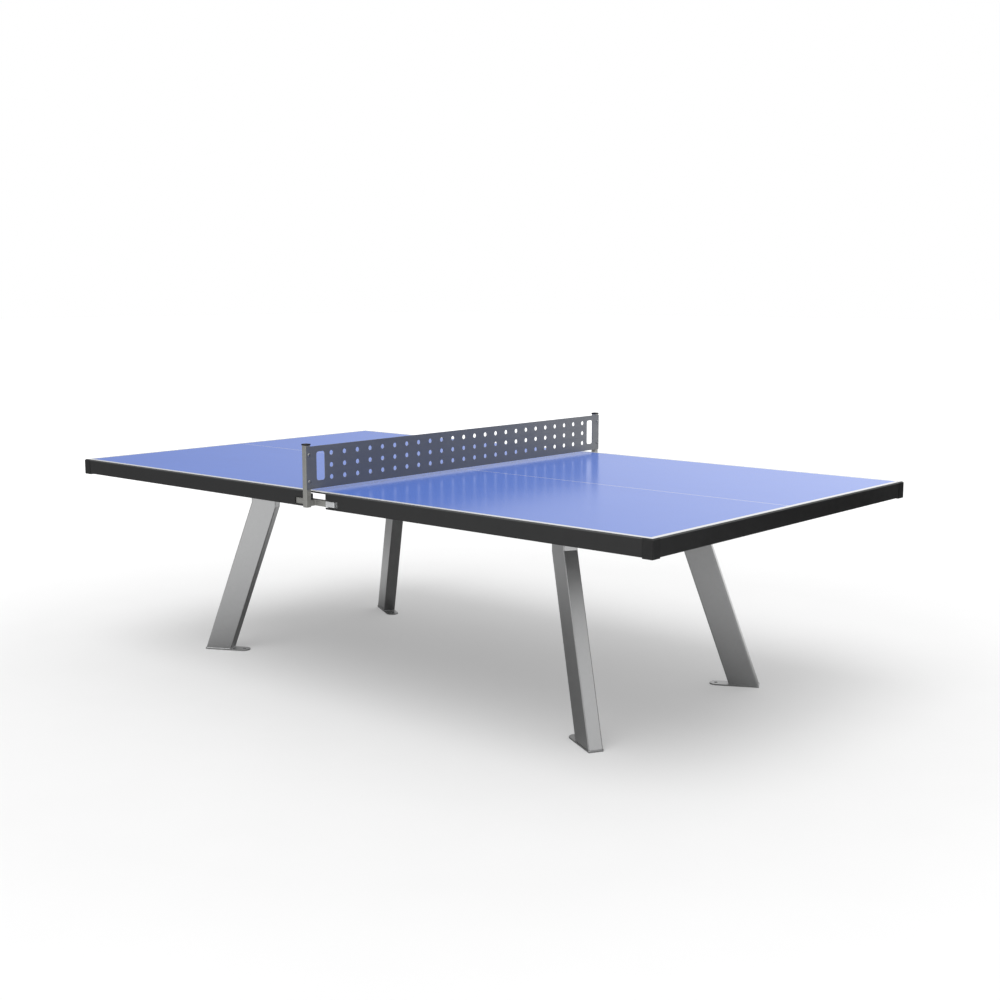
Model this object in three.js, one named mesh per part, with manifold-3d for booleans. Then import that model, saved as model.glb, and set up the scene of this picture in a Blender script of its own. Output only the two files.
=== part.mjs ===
// A fixed outdoor table-tennis table: two laminate half tops in a black folded-steel rim,
// four cranked rectangular-tube legs on foot plates, and a perforated steel net between two posts.
// Millimetres, +Z up. X runs along the table, Y across it, and the origin is on the floor
// under the middle of the net.

import * as THREE from 'three';
import { mergeVertices } from 'three/addons/utils/BufferGeometryUtils.js';
import Module from 'manifold-3d';

// ---- driving dimensions -------------------------------------------------------------------

const GAP = 0.3;                  // clearance between touching pieces

const LENGTH = 2740;              // playing surface
const WIDTH = 1525;
const HEIGHT = 760;
const TOP_THICK = 6;

const RIM_DEPTH = 56;             // rim: folded steel round the half tops
const RIM_OUT = 5;                // face stands this far outside the playing surface
const RIM_WALL = 2.5;
const RIM_SHELF = 28;
const RIM_FLANGE = 26;
const LIP = [1, 4.2];             // flat and drop of the bevel along the rim's top edge
const NET_GAP = 55;               // side rims stop this far from the net line
const NOTCH_REACH = { left: 98, right: 113 };   // cut-out in the side rim, round the post bar
const NOTCH_LOW = 6.5;
const NOTCH_OVER = 2.5;
const CAP_LEG = 30;               // length of a corner cap along each side
const CAP_SEAM = 1;
const CAP_PROUD = 0.8;
const CAP_DROP = 3;
const CAP_FLANGE = 15;

const CHANNEL_DEPTH = 42;         // cross members under the half tops
const CHANNEL_WALL = 3;
const RIB_WIDTH = 40;
const INNER_RIB_X = 260;
const OUTER_RIB_X = 1130;
const LEG_BEAM_WIDTH = 170;
const JOINT_STRIP = [60, 1400, 4];

const LEG_WIDTH = 100;            // leg: 100 x 50 tube, cranked in its own wide plane
const LEG_DEPTH = 50;
const LEG_WALL = 3;
const LEG_TURN = THREE.MathUtils.degToRad(28.5);
const LEG_KINK = [738, 385.4, 594.5];
const LEG_SPREAD = 210;           // how far the foot stands outside the crank
const LEG_PLATE = [116, 108, 6];
const LEG_BOLT_AT = [36, 40];
const LEG_BOLT = { headR: 9, headH: 5.5, shankR: 5, length: 18, holeR: 5.5 };
const FOOT_THICK = 5;
const FOOT_TAB = 73;
const FOOT_HOLE_IN = 50;
const FOOT_HOLE_R = 6.5;

const NET_HEIGHT = 152.5;         // net plate and its posts
const NET_CLEAR = 9;
const NET_THICK = 2.5;
const NET_HALF = 801;
const HOLE_R = 8.25;
const HOLE_PITCH = 60;
const HOLE_COLUMNS = 24;
const HOLE_ROWS = [43, 84, 125];  // above the playing surface
const SLOT = { y: 738.5, width: 37, z: 84.5, height: 97.5, r: 9 };
const POST_SIZE = 20;
const POST_WALL = 2;
const POST_BOTTOM = 708;
const POST_RISE = 3.5;            // post top above the net plate
const SCREW_HEIGHTS = [35, 125];
const SCREW_Y = 791;
const SCREW = { headR: 5, headH: 2.5, shankR: 3, length: 9, holeR: 3.6 };
const POST_CAP = { over: 1.2, thick: 5, plug: 12 };
const BAR = { left: 108, right: 93, join: 50, size: 20, front: 763.7, bottom: 711.5 };
const SHOE_SETBACK = 4;
const BRACKET = { inset: 10, drop: 2 };

const RIM_BOTTOM = HEIGHT - RIM_DEPTH;
const TOP_UNDER = HEIGHT - TOP_THICK;
const CHANNEL_BOTTOM = TOP_UNDER - GAP - CHANNEL_DEPTH;
const CHANNEL_HALF_Y = WIDTH / 2 - RIM_SHELF - 2 * GAP;

// ---- materials ----------------------------------------------------------------------------

const paint = (color, roughness, metalness) =>
  new THREE.MeshStandardMaterial({ color, roughness, metalness });

const BLUE_LAMINATE = paint(0x5f7fd0, 0.35, 0);
const BLACK_STEEL = paint(0x2b2c2d, 0.5, 0.3);
const BLACK_PLASTIC = paint(0x222324, 0.6, 0);
const GALVANISED = paint(0x9c9ea0, 0.45, 0.8);
const DARK_STEEL = paint(0x5b5e66, 0.5, 0.6);
const ZINC = paint(0xd8dadb, 0.35, 0.9);

// ---- shape tools --------------------------------------------------------------------------

const wasm = await Module();
wasm.setup();

const table = new THREE.Group();

function add(name, geometry, material) {
  const mesh = new THREE.Mesh(geometry, material);
  mesh.name = name;
  table.add(mesh);
  return mesh;
}

// Closed geometry from a flat list of points and triangles, with its faces turned outwards.
function closedGeometry(points, triangles) {
  let volume = 0;
  for (const [a, b, c] of triangles) {
    volume += points[a].dot(new THREE.Vector3().crossVectors(points[b], points[c]));
  }
  const index = triangles.flatMap(([a, b, c]) => (volume < 0 ? [a, c, b] : [a, b, c]));
  const geometry = new THREE.BufferGeometry().setFromPoints(points);
  geometry.setIndex(index);
  geometry.computeVertexNormals();
  return geometry;
}

// Skin over loops of equal point count. Open ends are closed with the flat profile's triangles,
// and a ring joins its last loop to its first.
function skin(loops, profile = null) {
  const size = loops[0].length;
  const ring = profile === null;
  const triangles = [];
  for (let i = 0; i < loops.length - (ring ? 0 : 1); i++) {
    const here = i * size;
    const next = ((i + 1) % loops.length) * size;
    for (let j = 0; j < size; j++) {
      const k = (j + 1) % size;
      triangles.push([here + j, here + k, next + k], [here + j, next + k, next + j]);
    }
  }
  if (!ring) {
    const last = (loops.length - 1) * size;
    for (const [a, b, c] of THREE.ShapeUtils.triangulateShape(profile, [])) {
      triangles.push([c, b, a], [last + a, last + b, last + c]);
    }
  }
  return closedGeometry(loops.flat(), triangles);
}

// Sweep a profile of (outward, height) points along stations on the edge of the top.
function sweep(profile, stations) {
  const loops = stations.map(({ at, out }) =>
    profile.map((p) => new THREE.Vector3(at[0] + out[0] * p.x, at[1] + out[1] * p.x, p.y)));
  const flat = THREE.ShapeUtils.isClockWise(profile) ? [...profile].reverse() : profile;
  return skin(flat === profile ? loops : loops.map((loop) => [...loop].reverse()), flat);
}

function box(x0, x1, y0, y1, z0, z1) {
  const geometry = new THREE.BoxGeometry(x1 - x0, y1 - y0, z1 - z0);
  return geometry.translate((x0 + x1) / 2, (y0 + y1) / 2, (z0 + z1) / 2);
}

function toSolid(geometry) {
  const bare = new THREE.BufferGeometry();
  bare.setAttribute('position', geometry.getAttribute('position').clone());
  if (geometry.index) bare.setIndex(geometry.index.clone());
  const merged = mergeVertices(bare, 1e-4);
  return new wasm.Manifold(new wasm.Mesh({
    numProp: 3,
    vertProperties: new Float32Array(merged.getAttribute('position').array),
    triVerts: new Uint32Array(merged.index.array),
  }));
}

function fromSolid(solid) {
  const { vertProperties, triVerts } = solid.getMesh();
  const geometry = new THREE.BufferGeometry();
  geometry.setAttribute('position', new THREE.BufferAttribute(new Float32Array(vertProperties), 3));
  geometry.setIndex([...triVerts]);
  geometry.computeVertexNormals();
  return geometry;
}

function cut(geometry, cutters) {
  let solid = toSolid(geometry);
  for (const cutter of cutters) solid = solid.subtract(toSolid(cutter));
  return fromSolid(solid);
}

function join(pieces) {
  let solid = toSolid(pieces[0]);
  for (const piece of pieces.slice(1)) solid = solid.add(toSolid(piece));
  return fromSolid(solid);
}

// Upright drill at (x, y), from z0 to z1.
function drill(x, y, z0, z1, r, sides = 12) {
  const geometry = new THREE.CylinderGeometry(r, r, z1 - z0, sides);
  return geometry.rotateX(Math.PI / 2).translate(x, y, (z0 + z1) / 2);
}

// Six-sided bolt along +Z: head below z = 0, shank above it.
function bolt({ headR, headH, shankR, length }) {
  const outline = [[0, -headH], [headR, -headH], [headR, 0], [shankR, 0],
    [shankR, length], [0, length]];
  const geometry = new THREE.LatheGeometry(outline.map(([r, h]) => new THREE.Vector2(r, h)), 6);
  return geometry.rotateX(Math.PI / 2);
}

const halves = [['left', -1], ['right', 1]];
const sides = [['near', -1], ['far', 1]];

// ---- half tops ----------------------------------------------------------------------------

// One laminate sheet for each half, with a hairline joint between them.
function halfTop(sx) {
  const [x0, x1] = [sx * GAP, sx * LENGTH / 2].sort((a, b) => a - b);
  return box(x0, x1, -WIDTH / 2, WIDTH / 2, TOP_UNDER, HEIGHT);
}

for (const [half, sx] of halves) add(`half_top_${half}`, halfTop(sx), BLUE_LAMINATE);

// ---- rim ----------------------------------------------------------------------------------

// Section of the rim as (outward, height): bevelled lip, face, bottom flange and panel shelf.
function rimProfile(out, bottom, flange, shelf) {
  const shelfTop = TOP_UNDER - GAP;
  return [
    [GAP, HEIGHT], [LIP[0], HEIGHT], [out, HEIGHT - LIP[1]], [out, bottom],
    [-flange, bottom], [-flange, bottom + RIM_WALL], [out - RIM_WALL, bottom + RIM_WALL],
    [out - RIM_WALL, shelfTop - RIM_WALL], [-shelf, shelfTop - RIM_WALL],
    [-shelf, shelfTop], [GAP, shelfTop],
  ].map(([x, y]) => new THREE.Vector2(x, y));
}

const RAIL_PROFILE = rimProfile(RIM_OUT, RIM_BOTTOM, RIM_FLANGE, RIM_SHELF);
const CAP_PROFILE = rimProfile(
  RIM_OUT + CAP_PROUD, RIM_BOTTOM - CAP_DROP, CAP_FLANGE, CAP_FLANGE);

const CAP_END = CAP_LEG + CAP_SEAM;

function sideRail(half, sx, sy) {
  const y = sy * WIDTH / 2;
  const ends = [NET_GAP, LENGTH / 2 - CAP_END];
  const rail = sweep(RAIL_PROFILE, ends.map((x) => ({ at: [sx * x, y], out: [0, sy] })));
  const [x0, x1] = [sx * (NET_GAP - 5), sx * NOTCH_REACH[half]].sort((a, b) => a - b);
  const [y0, y1] = [y + sy, y + sy * (RIM_OUT + 5)].sort((a, b) => a - b);
  const high = BAR.bottom + BAR.size + NOTCH_OVER;
  return cut(rail, [box(x0, x1, y0, y1, RIM_BOTTOM + NOTCH_LOW, high)]);
}

function endRail(sx) {
  const reach = WIDTH / 2 - CAP_END;
  const stations = [-reach, reach].map((y) => ({ at: [sx * LENGTH / 2, y], out: [sx, 0] }));
  return sweep(RAIL_PROFILE, stations);
}

// Moulded corner: the rim's section carried round the corner of the top with a mitre.
function cornerCap(sx, sy) {
  const x = LENGTH / 2;
  const y = WIDTH / 2;
  return sweep(CAP_PROFILE, [
    { at: [sx * (x - CAP_LEG), sy * y], out: [0, sy] },
    { at: [sx * x, sy * y], out: [sx, sy] },
    { at: [sx * x, sy * (y - CAP_LEG)], out: [sx, 0] },
  ]);
}

for (const [half, sx] of halves) {
  for (const [side, sy] of sides) {
    add(`side_rail_${side}_${half}`, sideRail(half, sx, sy), BLACK_STEEL);
    add(`corner_cap_${side}_${half}`, cornerCap(sx, sy), BLACK_PLASTIC);
  }
  add(`end_rail_${half}`, endRail(sx), BLACK_STEEL);
}

// ---- cross members ------------------------------------------------------------------------

// Channel along Y with its open side up, centred on x.
function channel(x, width) {
  const w = width / 2;
  const top = CHANNEL_BOTTOM + CHANNEL_DEPTH;
  const floor = CHANNEL_BOTTOM + CHANNEL_WALL;
  const profile = [
    [-w, CHANNEL_BOTTOM], [w, CHANNEL_BOTTOM], [w, top], [w - CHANNEL_WALL, top],
    [w - CHANNEL_WALL, floor], [-w + CHANNEL_WALL, floor], [-w + CHANNEL_WALL, top], [-w, top],
  ].map(([a, b]) => new THREE.Vector2(a, b));
  const ends = [-CHANNEL_HALF_Y, CHANNEL_HALF_Y];
  return sweep(profile, ends.map((y) => ({ at: [x, y], out: [1, 0] })));
}

// ---- legs ---------------------------------------------------------------------------------

// A leg's own directions: u outwards along its wide plane, w from its outer face inwards.
const LEG_U = [Math.cos(LEG_TURN), Math.sin(LEG_TURN)];
const LEG_W = [Math.sin(LEG_TURN), -Math.cos(LEG_TURN)];

function legPoint(sx, sy, u, w, z) {
  const x = LEG_KINK[0] + u * LEG_U[0] + (w + LEG_DEPTH / 2) * LEG_W[0];
  const y = LEG_KINK[1] + u * LEG_U[1] + (w + LEG_DEPTH / 2) * LEG_W[1];
  return new THREE.Vector3(sx * x, sy * y, z);
}

// Rectangular loop, u and w measured from the tube's centre line; rise tilts it along u.
function legLoop(sx, sy, centreU, halfU, halfW, z, rise = 0) {
  return [[-1, -1], [1, -1], [1, 1], [-1, 1]].map(([a, b]) =>
    legPoint(sx, sy, centreU + a * halfU, b * halfW, z + a * rise));
}

const LEG_LEAN = Math.atan(LEG_SPREAD / LEG_KINK[2]);
const LEG_BOLTS = [[-1, -1], [1, -1], [1, 1], [-1, 1]].map(([a, b]) =>
  [a * LEG_BOLT_AT[0], b * LEG_BOLT_AT[1]]);

// Tube with its welded top plate, open at the foot: the upright stub, the crank's mitre and
// the leaning leg, outside and then back up inside.
function leg(sx, sy) {
  const plateTop = CHANNEL_BOTTOM - GAP;
  const plateUnder = plateTop - LEG_PLATE[2];
  const foot = FOOT_THICK + GAP;
  const footU = (LEG_KINK[2] - foot) * Math.tan(LEG_LEAN);
  const mitre = Math.tan(LEG_LEAN / 2);
  const loopAt = (halfWide, halfDeep) => ({
    foot: legLoop(sx, sy, footU, halfWide / Math.cos(LEG_LEAN), halfDeep, foot),
    kink: legLoop(sx, sy, 0, halfWide, halfDeep, LEG_KINK[2], halfWide * mitre),
  });
  const halfWide = LEG_WIDTH / 2;
  const halfDeep = LEG_DEPTH / 2;
  const outside = loopAt(halfWide, halfDeep);
  const inside = loopAt(halfWide - LEG_WALL, halfDeep - LEG_WALL);
  const tube = skin([
    outside.foot, outside.kink,
    legLoop(sx, sy, 0, halfWide, halfDeep, plateUnder),
    legLoop(sx, sy, 0, LEG_PLATE[0] / 2, LEG_PLATE[1] / 2, plateUnder),
    legLoop(sx, sy, 0, LEG_PLATE[0] / 2, LEG_PLATE[1] / 2, plateTop),
    legLoop(sx, sy, 0, halfWide - LEG_WALL, halfDeep - LEG_WALL, plateTop),
    inside.kink, inside.foot,
  ]);
  const holes = LEG_BOLTS.map(([u, w]) => {
    const p = legPoint(sx, sy, u, w, 0);
    return drill(p.x, p.y, plateUnder - 5, plateTop + 5, LEG_BOLT.holeR, 8);
  });
  return cut(tube, holes);
}

// Plate under the tube with a round-ended tab towards the middle of the table.
function footPlate(sx, sy) {
  const footU = LEG_KINK[2] * Math.tan(LEG_LEAN);
  const halfU = LEG_WIDTH / 2 / Math.cos(LEG_LEAN);
  const halfW = LEG_DEPTH / 2;
  const tabEnd = footU - halfU - FOOT_TAB + halfW;
  const outline = [[footU + halfU, -halfW], [footU + halfU, halfW]];
  const steps = 8;
  for (let i = 0; i <= steps; i++) {
    const a = Math.PI / 2 + (Math.PI * i) / steps;
    outline.push([tabEnd + halfW * Math.cos(a), halfW * Math.sin(a)]);
  }
  const loops = [0, FOOT_THICK].map((z) => outline.map(([u, w]) => legPoint(sx, sy, u, w, z)));
  const profile = outline.map(([u, w]) => new THREE.Vector2(u, w));
  const flat = THREE.ShapeUtils.isClockWise(profile) ? [...profile].reverse() : profile;
  const plate = skin(flat === profile ? loops : loops.map((loop) => [...loop].reverse()), flat);
  const hole = legPoint(sx, sy, footU - halfU - FOOT_HOLE_IN, 0, 0);
  return cut(plate, [drill(hole.x, hole.y, -5, FOOT_THICK + 5, FOOT_HOLE_R)]);
}

for (const [half, sx] of halves) {
  for (const [side, sy] of sides) {
    add(`leg_${side}_${half}`, leg(sx, sy), GALVANISED);
    add(`foot_plate_${side}_${half}`, footPlate(sx, sy), GALVANISED);
    LEG_BOLTS.forEach(([u, w], i) => {
      const p = legPoint(sx, sy, u, w, CHANNEL_BOTTOM - 2 * GAP - LEG_PLATE[2]);
      const mesh = add(`leg_bolt_${side}_${half}_${i + 1}`, bolt(LEG_BOLT), ZINC);
      mesh.position.copy(p);
    });
  }
  add(`inner_rib_${half}`, channel(sx * INNER_RIB_X, RIB_WIDTH), BLACK_STEEL);
  add(`outer_rib_${half}`, channel(sx * OUTER_RIB_X, RIB_WIDTH), BLACK_STEEL);
  const stubX = legPoint(sx, 1, 0, 0, 0).x;
  const holes = sides.flatMap(([, sy]) => LEG_BOLTS.map(([u, w]) => {
    const p = legPoint(sx, sy, u, w, 0);
    return drill(p.x, p.y, CHANNEL_BOTTOM - 5, CHANNEL_BOTTOM + 10, LEG_BOLT.holeR, 8);
  }));
  add(`leg_beam_${half}`, cut(channel(stubX, LEG_BEAM_WIDTH), holes), BLACK_STEEL);
}

const [stripX, stripY, stripZ] = JOINT_STRIP;
add('joint_strip', box(
  -stripX / 2, stripX / 2, -stripY / 2, stripY / 2,
  TOP_UNDER - GAP - stripZ, TOP_UNDER - GAP), BLACK_STEEL);

// ---- net ----------------------------------------------------------------------------------

function roundedSlot({ y, width, z, height, r }, sy) {
  const path = new THREE.Path();
  const left = sy * y - width / 2;
  const right = left + width;
  const low = HEIGHT + z - height / 2;
  const high = low + height;
  path.moveTo(left + r, low);
  path.lineTo(right - r, low);
  path.absarc(right - r, low + r, r, -Math.PI / 2, 0);
  path.lineTo(right, high - r);
  path.absarc(right - r, high - r, r, 0, Math.PI / 2);
  path.lineTo(left + r, high);
  path.absarc(left + r, high - r, r, Math.PI / 2, Math.PI);
  path.lineTo(left, low + r);
  path.absarc(left + r, low + r, r, Math.PI, 1.5 * Math.PI);
  return path;
}

function roundHole(y, z, r, count) {
  const points = [];
  for (let i = 0; i < count; i++) {
    const a = (2 * Math.PI * (i + 0.5)) / count;
    points.push(new THREE.Vector2(y + r * Math.cos(a), HEIGHT + z + r * Math.sin(a)));
  }
  return new THREE.Path(points);
}

// Perforated sheet: three rows of round holes, a tall slot and two screw holes at each end.
function netPlate() {
  const low = HEIGHT + NET_CLEAR;
  const high = HEIGHT + NET_HEIGHT;
  const corners = [[-NET_HALF, low], [NET_HALF, low], [NET_HALF, high], [-NET_HALF, high]];
  const shape = new THREE.Shape(corners.map(([y, z]) => new THREE.Vector2(y, z)));
  for (let column = 0; column < HOLE_COLUMNS; column++) {
    const y = (column - (HOLE_COLUMNS - 1) / 2) * HOLE_PITCH;
    for (const z of HOLE_ROWS) shape.holes.push(roundHole(y, z, HOLE_R, 8));
  }
  for (const [, sy] of sides) {
    shape.holes.push(roundedSlot(SLOT, sy));
    for (const z of SCREW_HEIGHTS) shape.holes.push(roundHole(sy * SCREW_Y, z, SCREW.holeR, 6));
  }
  const options = { depth: NET_THICK, bevelEnabled: false, curveSegments: 4 };
  const geometry = new THREE.ExtrudeGeometry(shape, options);
  // the outline's axes (y, z, depth) turn onto the table's (Y, Z, X)
  const upright = new THREE.Matrix4().makeBasis(
    new THREE.Vector3(0, 1, 0), new THREE.Vector3(0, 0, 1), new THREE.Vector3(1, 0, 0));
  return geometry.applyMatrix4(upright).translate(GAP, 0, 0);
}

add('net_plate', netPlate(), DARK_STEEL);

const POST_TOP = HEIGHT + NET_HEIGHT + POST_RISE;
const POST_IN = NET_HALF - POST_SIZE;

// Square tube, open at both ends, drilled for the two screws.
function netPost(sy) {
  const centreY = sy * (NET_HALF - POST_SIZE / 2);
  const ring = (half, z) => [[-1, -1], [1, -1], [1, 1], [-1, 1]].map(([a, b]) =>
    new THREE.Vector3(-POST_SIZE / 2 + a * half, centreY + b * half, z));
  const outer = POST_SIZE / 2;
  const inner = outer - POST_WALL;
  const tube = skin([
    ring(outer, POST_BOTTOM), ring(outer, POST_TOP),
    ring(inner, POST_TOP), ring(inner, POST_BOTTOM),
  ]);
  const holes = SCREW_HEIGHTS.map((z) => drill(0, 0, -2 * POST_WALL, POST_WALL, SCREW.holeR, 6)
    .rotateY(Math.PI / 2).translate(0, sy * SCREW_Y, HEIGHT + z));
  return cut(tube, holes);
}

function postCap(sy) {
  const centreY = sy * (NET_HALF - POST_SIZE / 2);
  const over = POST_SIZE / 2 + POST_CAP.over;
  const plug = POST_SIZE / 2 - POST_WALL - GAP;
  const centreX = -POST_SIZE / 2;
  const low = POST_TOP + GAP;
  return join([
    box(centreX - over, centreX + over, centreY - over, centreY + over, low, low + POST_CAP.thick),
    box(centreX - plug, centreX + plug, centreY - plug, centreY + plug, low - POST_CAP.plug, low + 1),
  ]);
}

const spanY = (sy, a, b) => [sy * a, sy * b].sort((p, q) => p - q);
const BAR_TOP = BAR.bottom + BAR.size;
const PAD_LOW = RIM_BOTTOM + RIM_WALL + GAP;

// Square bar behind the rim that bridges the gap at the net line, with the stub that carries
// the post. Its left end has a pad resting on the rim's flange.
function postBar(sy) {
  const [y0, y1] = spanY(sy, BAR.front, BAR.front - BAR.size);
  const [s0, s1] = spanY(sy, POST_IN - GAP, BAR.front - 1);
  return join([
    box(-BAR.left, BAR.join, y0, y1, BAR.bottom, BAR_TOP),
    box(-POST_SIZE, 0, s0, s1, BAR.bottom, BAR_TOP),
    box(-BAR.left, -NET_GAP - 1, y0, y1, PAD_LOW, BAR.bottom + 1),
  ]);
}

// Block that carries the bar's right end on the flange, on a foot set back from its face.
function barShoe(sy) {
  const x0 = BAR.join + GAP;
  const [y0, y1] = spanY(sy, BAR.front, BAR.front - BAR.size);
  const [f0, f1] = spanY(sy, BAR.front - SHOE_SETBACK, BAR.front - BAR.size);
  return join([
    box(x0, BAR.right, y0, y1, BAR.bottom, BAR_TOP),
    box(NET_GAP + 1, BAR.right, f0, f1, PAD_LOW, BAR.bottom + 1),
  ]);
}

// Black block that holds the post off the edge of the top, above the bar.
function postBracket(sy) {
  const [y0, y1] = spanY(sy, POST_IN - GAP, BAR.front);
  return box(-POST_SIZE, -BRACKET.inset, y0, y1, BAR_TOP + GAP, TOP_UNDER - BRACKET.drop);
}

for (const [side, sy] of sides) {
  add(`net_post_${side}`, netPost(sy), GALVANISED);
  add(`post_cap_${side}`, postCap(sy), BLACK_PLASTIC);
  add(`post_bar_${side}`, postBar(sy), GALVANISED);
  add(`bar_shoe_${side}`, barShoe(sy), ZINC);
  add(`post_bracket_${side}`, postBracket(sy), BLACK_STEEL);
  SCREW_HEIGHTS.forEach((z, i) => {
    const mesh = add(`net_screw_${side}_${i + 1}`, bolt(SCREW).rotateY(-Math.PI / 2), ZINC);
    mesh.position.set(NET_THICK + 2 * GAP, sy * SCREW_Y, HEIGHT + z);
  });
}

export default table;
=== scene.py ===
# A fixed outdoor table-tennis table, in metres, in the frame's own axes: X runs along the table,
# Y across it, and the origin is on the floor under the middle of the net. The file follows the
# table as it is bolted together: half tops, rim, cross members, legs, net, then the studio.

import math

import bmesh
import bpy
from mathutils import Euler, Matrix, Vector


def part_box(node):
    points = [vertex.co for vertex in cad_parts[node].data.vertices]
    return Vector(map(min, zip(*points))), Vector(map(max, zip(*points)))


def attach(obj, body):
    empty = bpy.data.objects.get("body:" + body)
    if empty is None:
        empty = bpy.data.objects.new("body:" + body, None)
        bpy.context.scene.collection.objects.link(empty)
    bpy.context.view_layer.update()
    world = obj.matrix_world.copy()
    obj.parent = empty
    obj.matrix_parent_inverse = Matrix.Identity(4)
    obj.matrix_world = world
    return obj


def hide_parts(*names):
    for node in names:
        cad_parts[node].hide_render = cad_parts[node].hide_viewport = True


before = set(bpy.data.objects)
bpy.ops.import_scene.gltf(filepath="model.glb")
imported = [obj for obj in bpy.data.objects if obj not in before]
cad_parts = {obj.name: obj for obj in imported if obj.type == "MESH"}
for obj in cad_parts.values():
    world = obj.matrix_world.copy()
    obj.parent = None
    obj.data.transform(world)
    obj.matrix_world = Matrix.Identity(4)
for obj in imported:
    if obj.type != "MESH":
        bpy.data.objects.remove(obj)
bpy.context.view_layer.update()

# ---- half tops ------------------------------------------------------------------------------
# Two sheets of weatherproof compact laminate, blue with white court lines printed into the face.
# Each is a plain rectangle, eased along its edges and laid in the rim.

MM = 0.001
HALVES = {"left": -1, "right": 1}
SIDES = {"near": -1, "far": 1}

panel_low, panel_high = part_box("half_top_right")
HALF_LENGTH, HALF_WIDTH, SURFACE = panel_high
PANEL_UNDER = panel_low.z
PANEL_EDGE = 0.4 * MM
EDGE_LINE = 17 * MM
CENTRE_LINE = 3 * MM
LINE_BLUR = 0.3 * MM
DECOR_DEPTH = 0.75 * MM            # where the printed face gives way to the dark core
FLAT_FACE_WEIGHT = 90              # how far the large faces decide the shading at their edges


class Finish:
    """A material on one Principled surface, with its nodes added one at a time."""

    def __init__(self, name, **surface):
        self.material = bpy.data.materials.new(name)
        self.material.use_nodes = True
        self.tree = self.material.node_tree
        self.shader = self.tree.nodes["Principled BSDF"]
        self.place = self.node("TexCoord").outputs["Object"]
        for socket, value in surface.items():
            self.join(value, socket.replace("_", " "))

    def fill(self, node, values):
        for socket, value in values.items():
            if isinstance(value, bpy.types.NodeSocket):
                self.tree.links.new(value, node.inputs[socket])
            else:
                node.inputs[socket].default_value = value

    def node(self, kind, values=None, **settings):
        made = self.tree.nodes.new("ShaderNode" + kind)
        for name, value in settings.items():
            setattr(made, name, value)
        self.fill(made, values or {})
        return made

    def join(self, value, socket):
        self.fill(self.shader, {socket: value})

    def sum(self, operation, *values):
        return self.node("Math", dict(enumerate(values)), operation=operation).outputs[0]

    def noise(self, scale, detail=2.0, roughness=0.5, at=None):
        return self.node("TexNoise", {
            "Vector": at or self.place, "Scale": scale, "Detail": detail, "Roughness": roughness,
        }).outputs["Fac"]

    def ramp(self, value, low, high, to_low=0.0, to_high=1.0):
        return self.node("MapRange", {
            "Value": value, "From Min": low, "From Max": high, "To Min": to_low, "To Max": to_high,
        }).outputs["Result"]

    def mix(self, share, a, b):
        made = self.node("Mix", data_type="RGBA")
        # the colour sockets come after those of the same name for other kinds of value
        for index, value in ((0, share), (6, a), (7, b)):
            self.fill(made, {index: value})
        return made.outputs[2]

    def bump(self, height, strength, distance):
        made = self.node("Bump", {"Height": height, "Strength": strength, "Distance": distance})
        self.join(made.outputs["Normal"], "Normal")


def laminate():
    """A printed face on a dark core. Seen from low down, the blue is painted paler as a painted
    sheen, and shines less.
    """
    finish = Finish("blue_laminate", IOR=1.5)
    facing = finish.node("LayerWeight", {"Blend": 0.5}).outputs["Facing"]
    finish.join(finish.ramp(facing, 0.78, 0.90, 0.45, 0.35), "Specular IOR Level")
    # painted sheen: how much paler the blue is painted as the view grows more grazing
    painted_sheen = finish.ramp(facing, 0.72, 0.90, 1.15, 1.75)
    x, y, z = finish.node("SeparateXYZ", {0: finish.place}).outputs
    across, along = finish.sum("ABSOLUTE", y), finish.sum("ABSOLUTE", x)

    def step(value, place, blur=LINE_BLUR, *ends):
        return finish.ramp(value, place - blur, place + blur, *ends)

    side_line = step(across, HALF_WIDTH - EDGE_LINE)
    end_line = step(along, HALF_LENGTH - EDGE_LINE)
    centre_line = step(across, CENTRE_LINE / 2, LINE_BLUR, 1.0, 0.0)
    lines = finish.sum("MAXIMUM", finish.sum("MAXIMUM", side_line, end_line), centre_line)
    cloud = finish.noise(2.2, 3.0, 0.55)
    fleck = finish.noise(420.0, 2.0, 0.6)
    tone = finish.sum("MULTIPLY_ADD", cloud, 0.5, finish.sum("MULTIPLY", fleck, 0.5))
    blue = finish.mix(tone, (0.059, 0.128, 0.440, 1), (0.077, 0.155, 0.495, 1))
    white = finish.mix(fleck, (0.74, 0.76, 0.78, 1), (0.82, 0.83, 0.84, 1))
    # the blue is scaled by the painted sheen
    blue = finish.node("VectorMath", {0: blue, "Scale": painted_sheen}, operation="SCALE").outputs[0]
    face = finish.mix(lines, blue, white)
    core = step(z, SURFACE - DECOR_DEPTH, LINE_BLUR / 2)
    finish.join(finish.mix(core, (0.022, 0.020, 0.019, 1), face), "Base Color")
    wear = finish.noise(9.0, 5.0, 0.65)
    finish.join(finish.ramp(wear, 0.3, 0.75, 0.170, 0.185), "Roughness")
    return finish.material


def mesh_object(name, vertices, faces, material):
    mesh = bpy.data.meshes.new(name)
    mesh.from_pydata(vertices, [], faces)
    piece = bpy.data.objects.new(name, mesh)
    bpy.context.scene.collection.objects.link(piece)
    shape = bmesh.new()
    shape.from_mesh(mesh)
    bmesh.ops.recalc_face_normals(shape, faces=shape.faces)
    shape.to_mesh(mesh)
    shape.free()
    mesh.materials.append(material)
    return piece


def skin(name, loops, material, ring=False):
    """Skin over loops of equal point count, capped at both ends or closed into a ring."""
    size = len(loops[0])
    count = len(loops)
    faces = []
    for i in range(count if ring else count - 1):
        here, there = i * size, (i + 1) % count * size
        for j in range(size):
            k = (j + 1) % size
            faces.append((here + j, here + k, there + k, there + j))
    if not ring:
        faces += [tuple(range(size)), tuple((count - 1) * size + j for j in range(size))]
    return mesh_object(name, [v for loop in loops for v in loop], faces, material)


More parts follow.
